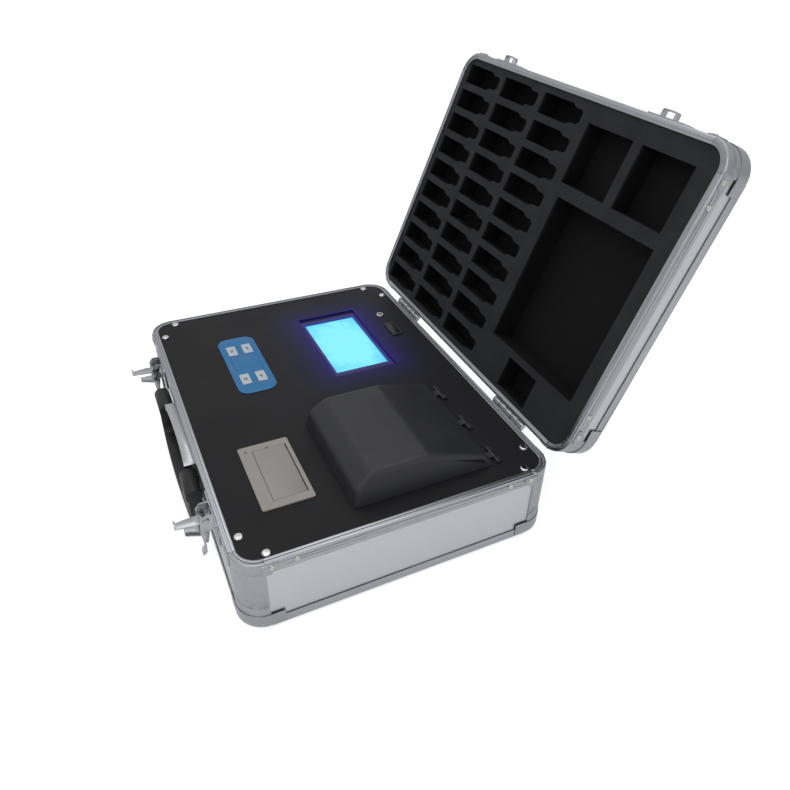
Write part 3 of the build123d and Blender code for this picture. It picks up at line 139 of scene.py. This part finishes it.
birch, tree, shader = surface("birch_plywood", "#B99A6E", 0.7)
here, out = places(tree)
grain = add(tree, "Mapping", [("Vector", here, out)], Scale=(14.0, 190.0, 190.0))
rings = add(tree, "TexNoise", [("Vector", grain, "Vector")], Scale=1.0, Detail=5.0, Distortion=0.8)
tone = add(tree, "ValToRGB", [("Fac", rings, "Fac")])
tone.color_ramp.elements[0].color = srgb("#8E7149")
tone.color_ramp.elements[0].position = 0.3
tone.color_ramp.elements[1].color = srgb("#CBB083")
tone.color_ramp.elements[1].position = 0.7
tree.links.new(tone.outputs["Color"], shader.inputs["Base Color"])
dress(["base_floor_board", "panel_ledges"], birch)

# Rails: extruded aluminium along every edge of both halves
# Natural aluminium drawn through a die, with a satin face and faint lines along its length. The rim
# rails interlock with a groove and a bead. The other rails are plain angles round floor and lid top.

drawn_rail = streaked("extruded_aluminium", "#B2B5BA", 0.30, grain=1500.0, depth=0.015, spread=0.07)
drawn_rail_lid = streaked("extruded_aluminium_lid", "#B2B5BA", 0.30, on_lid=True, grain=1500.0, depth=0.015,
                          spread=0.07)
dress(["base_rim_rails"], drawn_rail, 0.0003)
dress(["base_edge_rails"], drawn_rail, 0.0009)
dress(["lid_rim_rails"], drawn_rail_lid, 0.0003)
dress(["lid_edge_rails"], drawn_rail_lid, 0.0009)

# Corners: stamped and tumbled aluminium pieces with riveted ears
# Tumbling leaves them smooth and a little darker than the rails, with soft clouds in the gloss.


def tumbled(name, colour, roughness, size=90.0):
    """Tumbled or plated metal: soft clouds in the roughness and a faint uneven face."""
    material, tree, shader = surface(name, colour, roughness, 1.0)
    here, out = places(tree)
    cloud = add(tree, "TexNoise", [("Vector", here, out)], Scale=size, Detail=6.0, Roughness=0.6)
    rough = add(tree, "MapRange", [("Value", cloud, "Fac")], From_Min=0.3, From_Max=0.7,
                To_Min=roughness - 0.06, To_Max=roughness + 0.1)
    tree.links.new(rough.outputs["Result"], shader.inputs["Roughness"])
    bump = add(tree, "Bump", [("Height", cloud, "Fac")], Strength=0.03, Distance=0.0003)
    tree.links.new(bump.outputs["Normal"], shader.inputs["Normal"])
    return material


corner_metal = tumbled("tumbled_aluminium", "#A9ACB1", 0.27)
dress(["base_rim_corners", "base_corner_posts", "base_ball_corners", "lid_rim_corners", "lid_ball_corners"],
      corner_metal, 0.0002)

# Corner caps: thin shells over the ends of the edge rails
# Modelled as aluminium 0.7 mm thick round each lower corner of the base and upper corner of the lid.
# The photographed case has no such caps: its rails end flush against smooth corners. These only cover
# the square ends of the modelled rails, which stand out past the rounding.
case_half = (0.213, 0.157)
corner_turn = 0.025
base_under = 0.003
lid_over = 0.1198
cap_stand = 0.0008
cap_gauge = 0.0007
cap_rise = 0.0165
cap_reach = 0.013
cap_edge = 0.0055
cap_lip = 0.010
straight_rows = 4
turn_rows = 25
edge_rows = 9


def cap_side(face, edge, lip_height):
    """One face of the cap's section: the wall's top, a quarter turn of radius edge, the lip's end."""
    turn = np.linspace(0.0, math.pi / 2, edge_rows)
    level = cap_edge - cap_stand
    middle = cap_stand - cap_edge
    rolled = np.stack([middle + edge * np.cos(turn), level - edge * np.sin(turn)], -1)
    return np.concatenate([[[face, cap_rise]], rolled, [[-cap_lip, lip_height]]])


def corner_cap():
    """The section carried along a straight, a quarter circle of radius corner_turn and a straight."""
    outer = cap_side(cap_stand, cap_edge, -cap_stand)
    inner = cap_side(cap_stand - cap_gauge, cap_edge - cap_gauge, cap_gauge - cap_stand)
    section = np.concatenate([outer, inner[::-1]])
    quarter = np.linspace(0.0, math.pi / 2, turn_rows)
    angle = np.concatenate([np.zeros(straight_rows), quarter, np.full(straight_rows, math.pi / 2)])
    away = np.linspace(cap_reach, cap_reach / 4, straight_rows)
    along_y = np.concatenate([away, np.zeros(turn_rows + straight_rows)])
    along_x = np.concatenate([np.zeros(turn_rows + straight_rows), away[::-1]])
    radius = corner_turn + section[None, :, 0]
    x = case_half[0] - corner_turn + radius * np.cos(angle)[:, None] - along_x[:, None]
    y = case_half[1] - corner_turn + radius * np.sin(angle)[:, None] - along_y[:, None]
    z = section[None, :, 1] + 0 * x
    return np.stack([x, y, z], -1), len(outer)


def grid_quads(rows, columns, start=0):
    """Quads of a grid whose last column joins the first."""
    r, c = np.meshgrid(np.arange(rows - 1), np.arange(columns), indexing="ij")
    n = (c + 1) % columns
    quads = np.stack([r * columns + c, r * columns + n, (r + 1) * columns + n, (r + 1) * columns + c], -1)
    return quads.reshape(-1, 4) + start


def lid_opened(points):
    """Turns closed points with the lid about its hinge line."""
    c, s = math.cos(lid_angle), math.sin(lid_angle)
    dy, dz = points[..., 1] - hinge_line[1], points[..., 2] - hinge_line[2]
    return np.stack([points[..., 0], hinge_line[1] + c * dy + s * dz, hinge_line[2] - s * dy + c * dz], -1)


def make_piece(name, points, faces, material, body, smooth=True):
    """Puts points and faces into a new mesh object that rides on a body."""
    mesh = bpy.data.meshes.new(name)
    mesh.from_pydata(np.asarray(points, float).reshape(-1, 3).tolist(), [], np.asarray(faces).tolist())
    mesh.validate()
    mesh.polygons.foreach_set("use_smooth", np.full(len(mesh.polygons), smooth))
    mesh.materials.append(material)
    piece = bpy.data.objects.new(name, mesh)
    bpy.context.scene.collection.objects.link(piece)
    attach(piece, body)
    return piece


cap, half_count = corner_cap()
rows, columns = cap.shape[:2]
strip = np.arange(half_count - 1)
end = np.stack([strip, strip + 1, columns - 2 - strip, columns - 1 - strip], -1)
cap_faces = np.concatenate([grid_quads(rows, columns), end[:, ::-1], end + (rows - 1) * columns])
for body, way, level in (("base", 1, base_under), ("lid", -1, lid_over)):
    shells, quads = [], []
    for sx in (-1, 1):
        for sy in (-1, 1):
            shell = cap * (sx, sy, way) + (0, 0, level)
            shells.append((lid_opened(shell) if body == "lid" else shell).reshape(-1, 3))
            mirrored = sx * sy * way < 0
            quads.append((cap_faces[:, ::-1] if mirrored else cap_faces) + len(quads) * rows * columns)
    caps = make_piece(body + "_corner_caps", np.concatenate(shells), np.concatenate(quads), corner_metal, body)
    caps.modifiers.new("split", "EDGE_SPLIT").split_angle = math.radians(40)

# Rivets and pins: nickel plated steel
# Domed heads, bright and hard, with a slightly yellow cast against the aluminium.

nickel = tumbled("nickel_plated_steel", "#C8C5BF", 0.16, 400.0)
dress(["base_rivets", "lid_rivets", "hinge_pins", "latch_studs", "handle_pins", "floor_posts"], nickel)

# Feet: four moulded rubber feet under the floor

rubber, tree, shader = surface("moulded_rubber", "#1B1B1C", 0.75)
here, out = places(tree)
grit = add(tree, "TexNoise", [("Vector", here, out)], Scale=1800.0, Detail=2.0)
bump = add(tree, "Bump", [("Height", grit, "Fac")], Strength=0.25, Distance=0.0002)
tree.links.new(bump.outputs["Normal"], shader.inputs["Normal"])
dress(["base_feet", "platen_roller"], rubber, 0.0003)

# Hinges, latches and catches: zinc plated pressed steel
# Pressed from 1.2 mm sheet and plated: greyer than the aluminium, with crisp bright folds.

zinc = tumbled("zinc_plated_steel", "#B9BBBF", 0.24, 160.0)
dress(["base_hinge_leaves", "lid_hinge_leaves", "latch_plates", "lid_keepers", "latch_lever_left",
       "latch_lever_right", "latch_tongue_left", "latch_tongue_right", "handle_bracket"], zinc, 0.0002)

# Carrying handle: one moulded grip
# Soft-touch black plastic with a fine spark-eroded grain that breaks up the highlights.


def moulded(name, colour, roughness, grain=1600.0, strength=0.18):
    """Moulded plastic: a fine eroded grain in the height and a little unevenness in the gloss."""
    material, tree, shader = surface(name, colour, roughness)
    here, out = places(tree)
    grit = add(tree, "TexNoise", [("Vector", here, out)], Scale=grain, Detail=3.0, Roughness=0.6)
    cloud = add(tree, "TexNoise", [("Vector", here, out)], Scale=40.0, Detail=3.0)
    rough = add(tree, "MapRange", [("Value", cloud, "Fac")], From_Min=0.3, From_Max=0.7,
                To_Min=roughness - 0.05, To_Max=roughness + 0.07)
    tree.links.new(rough.outputs["Result"], shader.inputs["Roughness"])
    bump = add(tree, "Bump", [("Height", grit, "Fac")], Strength=strength, Distance=0.00015)
    tree.links.new(bump.outputs["Normal"], shader.inputs["Normal"])
    return material


grip_black = moulded("soft_touch_black_plastic", "#18181A", 0.5)
dress(["carry_handle"], grip_black, 0.0012, 28.0)

# Instrument panel: a black plate with a fine matt grain
# Matt black film on a 2.5 mm plate. A violet-blue glow of light spilt from the lit display is painted onto it
# as emission, strongest at the window's edge and gone after about 50 mm.

display_centre = (-0.084, 0.0543)
lit_half = (0.058, 0.0325)
panel_black, tree, shader = surface("matt_black_panel_film", "#151518", 0.55, Specular_IOR_Level=0.25)
here, out = places(tree)
grit = add(tree, "TexNoise", [("Vector", here, out)], Scale=1400.0, Detail=3.0, Roughness=0.65)
cloud = add(tree, "TexNoise", [("Vector", here, out)], Scale=9.0, Detail=3.0)
rough = add(tree, "MapRange", [("Value", cloud, "Fac")], From_Min=0.3, From_Max=0.7,
            To_Min=0.46, To_Max=0.6)
tree.links.new(rough.outputs["Result"], shader.inputs["Roughness"])
bump = add(tree, "Bump", [("Height", grit, "Fac")], Strength=0.2, Distance=0.0001)
tree.links.new(bump.outputs["Normal"], shader.inputs["Normal"])


def glow(tree, shader, reach, strength, colour):
    """Painted light spilt from the display, added as emission: fades as exp(-distance / reach) from the lit
    rectangle.
    """
    here = add(tree, "TexCoord")
    split = add(tree, "SeparateXYZ", [("Vector", here, "Object")])
    sides = []
    for axis, centre, half in (("X", display_centre[0], lit_half[0]), ("Y", display_centre[1], lit_half[1])):
        moved = add(tree, "Math", [(0, split, axis)], operation="SUBTRACT", i1=centre)
        away = add(tree, "Math", [(0, moved, "Value")], operation="ABSOLUTE")
        past = add(tree, "Math", [(0, away, "Value")], operation="SUBTRACT", i1=half)
        kept = add(tree, "Math", [(0, past, "Value")], operation="MAXIMUM", i1=0.0)
        sides.append(add(tree, "Math", [(0, kept, "Value")], operation="POWER", i1=2.0))
    total = add(tree, "Math", [(0, sides[0], "Value"), (1, sides[1], "Value")], operation="ADD")
    distance = add(tree, "Math", [(0, total, "Value")], operation="SQRT")
    scaled = add(tree, "Math", [(0, distance, "Value")], operation="MULTIPLY", i1=-1.0 / reach)
    fade = add(tree, "Math", [(0, scaled, "Value")], operation="EXPONENT")
    power = add(tree, "Math", [(0, fade, "Value")], operation="MULTIPLY", i1=strength)
    shader.inputs["Emission Color"].default_value = srgb(colour)
    tree.links.new(power.outputs["Value"], shader.inputs["Emission Strength"])


# Painted glow: the panel itself emits violet-blue near the display window.
glow(tree, shader, 0.015, 0.20, "#3226E0")
dress(["top_panel"], panel_black)

# Panel screws: eight chromed round-head screws
# Turned heads, polished, with a cross recess; they hold the panel to the battens.

screw_pair = ((0.201, 0.1275), (0.1745, 0.144))
screw_places = [(sx * x, sy * y) for sx in (-1, 1) for sy in (-1, 1) for x, y in screw_pair]
screw_radius = 0.0042
screw_height = 0.0019
cross_half_width = 0.00055
cross_depth = 0.0009
head_rings = 22
head_spokes = 48
panel_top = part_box("top_panel")[1].z


def screw_head():
    """Polar heightfield: a dome h(1-(r/R)^2)^0.42 less a cross whose arms end at 0.58 R."""
    s = np.linspace(0.0, 1.0, head_rings) ** 0.8
    a = np.linspace(0.0, 2 * np.pi, head_spokes, endpoint=False)
    r = screw_radius * s[:, None] + 0 * a
    x, y = r * np.cos(a), r * np.sin(a)
    z = screw_height * np.clip(1 - (r / screw_radius) ** 2, 0, None) ** 0.42
    arm = np.clip((cross_half_width - np.minimum(abs(x), abs(y))) / (cross_half_width * 0.5), 0, 1)
    reach = np.clip((0.58 * screw_radius - r) / (0.1 * screw_radius), 0, 1)
    return x, y, z - cross_depth * arm * reach


chrome = tumbled("chromed_steel", "#D8D8D8", 0.10, 500.0)
x, y, z = screw_head()
points, faces = [], []
for px, py in screw_places:
    faces.append(grid_quads(head_rings, head_spokes, start=len(points) * head_rings * head_spokes))
    points.append(np.stack([x + px, y + py, z + panel_top], -1))
screws = make_piece("panel_screw_heads", np.concatenate([p.reshape(-1, 3) for p in points]),
                    np.concatenate(faces)[:, ::-1], chrome, "base")
screws.modifiers.new("pole", "WELD").merge_threshold = 0.00001
dress(["panel_screws"], chrome)

# Display: a backlit dot-matrix module behind the panel's window
# A moulded black frame steps down to the glass, with a painted violet-blue glow from the display on it. The
# lit film behind the glass is cyan, a little brighter towards the middle and mottled by glare.

frame_black, tree, shader = surface("display_frame_abs", "#1C1B2A", 0.42)
# Painted glow: the frame emits violet-blue, strongest at the lit window.
glow(tree, shader, 0.004, 0.42, "#3324C8")
dress(["display_bezel"], frame_black, 0.0003)

lit_film, tree, shader = surface("lit_display_film", "#05080C", 0.35)
here, out = places(tree)
fade_x, fade_y = 12.0, 20.0
middle = add(tree, "Mapping", [("Vector", here, out)], Scale=(fade_x, fade_y, 0.0),
             Location=(-display_centre[0] * fade_x, -display_centre[1] * fade_y, 0))
ball = add(tree, "TexGradient", [("Vector", middle, "Vector")], gradient_type="SPHERICAL")
patch = add(tree, "TexNoise", [("Vector", here, out)], Scale=70.0, Detail=5.0, Roughness=0.6)
mixed = add(tree, "Math", [(0, ball, "Fac"), (1, patch, "Fac")], operation="ADD")
tint = add(tree, "ValToRGB", [("Fac", mixed, "Value")])
tint.color_ramp.elements[0].color = srgb("#4AC9F6")
tint.color_ramp.elements[0].position = 0.35
tint.color_ramp.elements[1].color = srgb("#86F4FF")
tint.color_ramp.elements[1].position = 1.0
tree.links.new(tint.outputs["Color"], shader.inputs["Emission Color"])
shader.inputs["Emission Strength"].default_value = 0.95
dress(["display_glass"], lit_film)

# Keypad: a printed blue film with four sprung keys
# Polyester film printed blue from behind, lightly glossy. The key tops are pale with small plain
# marks printed on them.

key_places = [(-0.112, -0.07825), (-0.112, -0.06035), (-0.05, -0.07825), (-0.05, -0.06035)]
film_blue = moulded("printed_blue_film", "#1F74AE", 0.38, 900.0, 0.05)
key_white = moulded("pale_key_plastic", "#C3CED6", 0.42, 1200.0, 0.06)
mark_ink, tree, shader = surface("printed_key_mark", "#4A5560", 0.6)
dress(["keypad_overlay"], film_blue, 0.00015)
dress(["key_1", "key_2", "key_3", "key_4"], key_white, 0.00015)
key_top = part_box("key_1")[1].z
key_bodies = ("key_one", "key_two", "key_three", "key_four")
# Each stroke is a rectangle x0, y0, x1, y1 in millimetres from the middle of its key.
key_strokes = (
    [(-3.2, -1.6, 3.2, -0.6), (-3.2, 0.6, 3.2, 1.6)],
    [(-2.6, -1.9, -1.2, 1.9), (1.2, -1.9, 2.6, 1.9), (-1.2, -0.5, 1.2, 0.5)],
    [(-3.0, -1.9, 3.0, -1.0), (-3.0, 1.0, 3.0, 1.9), (-0.6, -1.0, 0.6, 1.0)],
    [(-3.2, -0.5, 3.2, 0.5), (-0.6, -2.0, 0.6, 2.0)],
)
ink_height = 0.00003
for (px, py), body, strokes in zip(key_places, key_bodies, key_strokes):
    marks, quads = [], []
    for x0, y0, x1, y1 in strokes:
        quads.append(np.arange(4) + 4 * len(marks))
        corners = ((x0, y0), (x1, y0), (x1, y1), (x0, y1))
        marks.append([(px + u / 1000, py + v / 1000, key_top + ink_height) for u, v in corners])
    printed = make_piece("mark_" + body, marks, quads, mark_ink, body, smooth=False)

# Printer: a light grey moulded panel printer
# Warm grey ABS with a fine grain. The paper leaves through the slot behind the door.

printer_grey = moulded("warm_grey_abs", "#A09A95", 0.5, 1500.0, 0.12)
dress(["printer_housing", "printer_door"], printer_grey, 0.0003)
dress(["print_head"], zinc)
paper = moulded("thermal_paper", "#E4E2DC", 0.6, 700.0, 0.05)
dress(["paper_roll"], paper)
lens, tree, shader = surface("small_lamp_lens", "#6F8A5A", 0.25)
dress(["printer_lamps"], lens)

# Power inlet and rocker switch: black nylon with a bright ring

switch_black = moulded("black_nylon", "#17171A", 0.4, 1300.0, 0.1)
dress(["rocker_frame", "rocker"], switch_black, 0.0003)
dress(["power_jack"], nickel, 0.0003)

# Measuring cell and its light-tight cover
# The block is anodised aluminium. The cover is vacuum formed from black plastic with a matt leather
# grain, so the light runs softly over its rounded edges.

block_black = moulded("black_anodised_aluminium", "#1A1A1C", 0.4, 1800.0, 0.06)
dress(["cell_block", "cell_detectors", "cell_lamps"], block_black, 0.0003)
cover_black = moulded("grained_black_plastic", "#26272A", 0.46, 1200.0, 0.22)
dress(["cell_cover"], cover_black)
dress(["cover_hinge_brackets"], cover_black, 0.0002)

# Electronics under the panel
# Green solder resist with a faint weave of the glass cloth; a blue shrink-wrapped battery pack.

resist, tree, shader = surface("green_solder_resist", "#1B6B3C", 0.35)
here, out = places(tree)
weave = add(tree, "TexWave", [("Vector", here, out)], Scale=500.0, Distortion=0.5)
bump = add(tree, "Bump", [("Height", weave, "Fac")], Strength=0.1, Distance=0.0001)
tree.links.new(bump.outputs["Normal"], shader.inputs["Normal"])
dress(["main_board", "key_board", "display_board"], resist)
wrap = moulded("blue_shrink_wrap", "#1F3F8F", 0.3, 300.0, 0.1)
dress(["battery_pack"], wrap)
dress(["battery_strap"], zinc)

# Foam insert: die-cut closed-cell foam in the lid
# A charcoal sheet with a skin of fine cells. Its cut walls and pocket floors are painted almost black, the
# colour going
# towards black with depth below the face: painted shade in the pockets.

foam_face = 0.0863
foam, tree, shader = surface("closed_cell_foam", "#2A2B2D", 0.82, Specular_IOR_Level=0.25)
here, out = places(tree, on_lid=True)
split = add(tree, "SeparateXYZ", [("Vector", here, out)])
depth = add(tree, "Math", [(0, split, "Z")], operation="SUBTRACT", i1=foam_face)
pocket_shade_mask = add(tree, "MapRange", [("Value", depth, "Value")], From_Min=0.0002, From_Max=0.004,
           To_Min=0.0, To_Max=1.0)
cells = add(tree, "TexVoronoi", [("Vector", here, out)], Scale=1100.0)
cloud = add(tree, "TexNoise", [("Vector", here, out)], Scale=35.0, Detail=5.0)
face_tone = add(tree, "ValToRGB", [("Fac", cloud, "Fac")])
face_tone.color_ramp.elements[0].color = srgb("#26272A")
face_tone.color_ramp.elements[0].position = 0.3
face_tone.color_ramp.elements[1].color = srgb("#303134")
face_tone.color_ramp.elements[1].position = 0.7
# Painted shade: below the foam's face the colour goes towards near black with depth.
painted_pocket_shade = add(tree, "Mix", [(0, pocket_shade_mask, "Result"), (6, face_tone, "Color")], data_type="RGBA",
             i7=srgb("#060607"))
tree.links.new(painted_pocket_shade.outputs[2], shader.inputs["Base Color"])
bump = add(tree, "Bump", [("Height", cells, "Distance")], Strength=0.35, Distance=0.0003)
tree.links.new(bump.outputs["Normal"], shader.inputs["Normal"])
dress(["lid_foam"], foam)

# Studio: a pale floor, a white background and soft light

floor_mesh = bpy.data.meshes.new("floor")
floor_reach = 6
corner_signs = ((-1, -1), (1, -1), (1, 1), (-1, 1))
floor_corners = [(sx * floor_reach, sy * floor_reach, 0) for sx, sy in corner_signs]
floor_mesh.from_pydata(floor_corners, [], [(0, 1, 2, 3)])
floor = bpy.data.objects.new("floor", floor_mesh)
bpy.context.scene.collection.objects.link(floor)
pale, tree, shader = surface("pale_floor", "#F4F4F4", 0.8)
shader.inputs["Emission Color"].default_value = (1, 1, 1, 1)
path = add(tree, "LightPath")
mirrored = add(tree, "Math", [(0, path, "Is Glossy Ray")], operation="MULTIPLY", i1=0.25)
seen = add(tree, "Math", [(0, path, "Is Camera Ray"), (1, mirrored, "Value")], operation="MAXIMUM")
lift = add(tree, "Math", [(0, seen, "Value")], operation="MULTIPLY", i1=0.60)
tree.links.new(lift.outputs["Value"], shader.inputs["Emission Strength"])
floor_mesh.materials.append(pale)

world = bpy.data.worlds.new("studio")
bpy.context.scene.world = world
world.use_nodes = True
tree = world.node_tree
tree.nodes.clear()
path = add(tree, "LightPath")
clear = add(tree, "Math", [(0, path, "Is Camera Ray"), (1, path, "Is Transmission Ray")], operation="MAXIMUM")
mirrored = add(tree, "Math", [(0, path, "Is Glossy Ray")], operation="MULTIPLY", i1=0.35)
seen = add(tree, "Math", [(0, clear, "Value"), (1, mirrored, "Value")], operation="MAXIMUM")
here = add(tree, "TexCoord")
up = add(tree, "SeparateXYZ", [("Vector", here, "Generated")])
sky = add(tree, "ValToRGB", [("Fac", up, "Z")])
sky.color_ramp.elements[0].color = (0.20, 0.20, 0.21, 1)
sky.color_ramp.elements[0].position = 0.0
sky.color_ramp.elements[1].color = (0.62, 0.62, 0.63, 1)
sky.color_ramp.elements[1].position = 0.8
white = add(tree, "Mix", [(0, seen, "Value"), (6, sky, "Color")], data_type="RGBA", i7=(1, 1, 1, 1))
back = add(tree, "Background", [("Color", white, 2)], Strength=1.0)
add(tree, "OutputWorld", [("Surface", back, "Background")])


def soft_light(name, place, target, size, power):
    """A square softbox aimed at a point."""
    lamp = bpy.data.lights.new(name, "AREA")
    lamp.shape = "SQUARE"
    lamp.size = size
    lamp.energy = power
    item = bpy.data.objects.new(name, lamp)
    item.location = place
    item.rotation_euler = (Vector(target) - Vector(place)).to_track_quat("-Z", "Y").to_euler()
    bpy.context.scene.collection.objects.link(item)


soft_light("key_light", (0.9, -1.0, 1.6), (0, 0, 0.1), 1.2, 5.5)
soft_light("top_light", (-0.4, 0.2, 1.9), (0, 0, 0.1), 1.4, 5.0)
soft_light("side_light", (1.6, 0.6, 0.7), (0.2, 0, 0.1), 0.9, 1.4)

# Camera: matched to the photograph by its straight edges

picture_side = 790.0
lens_pixels = 685.519
centre_column = 410.235
centre_row = 376.804
film_width = 36.0
camera_place = (0.590396, -0.201356, 0.52976)
azimuth, elevation, roll = (math.radians(v) for v in (62.719, 34.722, 2.386))
right = np.array([math.cos(azimuth), math.sin(azimuth), 0.0])
level_share = math.cos(elevation)
backward = np.array([math.sin(azimuth) * level_share, -math.cos(azimuth) * level_share, math.sin(elevation)])
upward = np.cross(backward, right)
turned_right = math.cos(roll) * right + math.sin(roll) * upward
turned_up = -math.sin(roll) * right + math.cos(roll) * upward
lens_data = bpy.data.cameras.new("camera")
lens_data.sensor_width = film_width
lens_data.lens = lens_pixels * film_width / picture_side
lens_data.shift_x = -(centre_column - picture_side / 2) / picture_side
lens_data.shift_y = (centre_row - picture_side / 2) / picture_side
lens_data.clip_start = 0.01
camera = bpy.data.objects.new("camera", lens_data)
axes = np.column_stack([turned_right, turned_up, backward])
camera.matrix_world = Matrix([list(row) for row in axes]).to_4x4()
camera.location = camera_place
bpy.context.scene.collection.objects.link(camera)
bpy.context.scene.camera = camera
bpy.context.scene.view_settings.view_transform = "Standard"
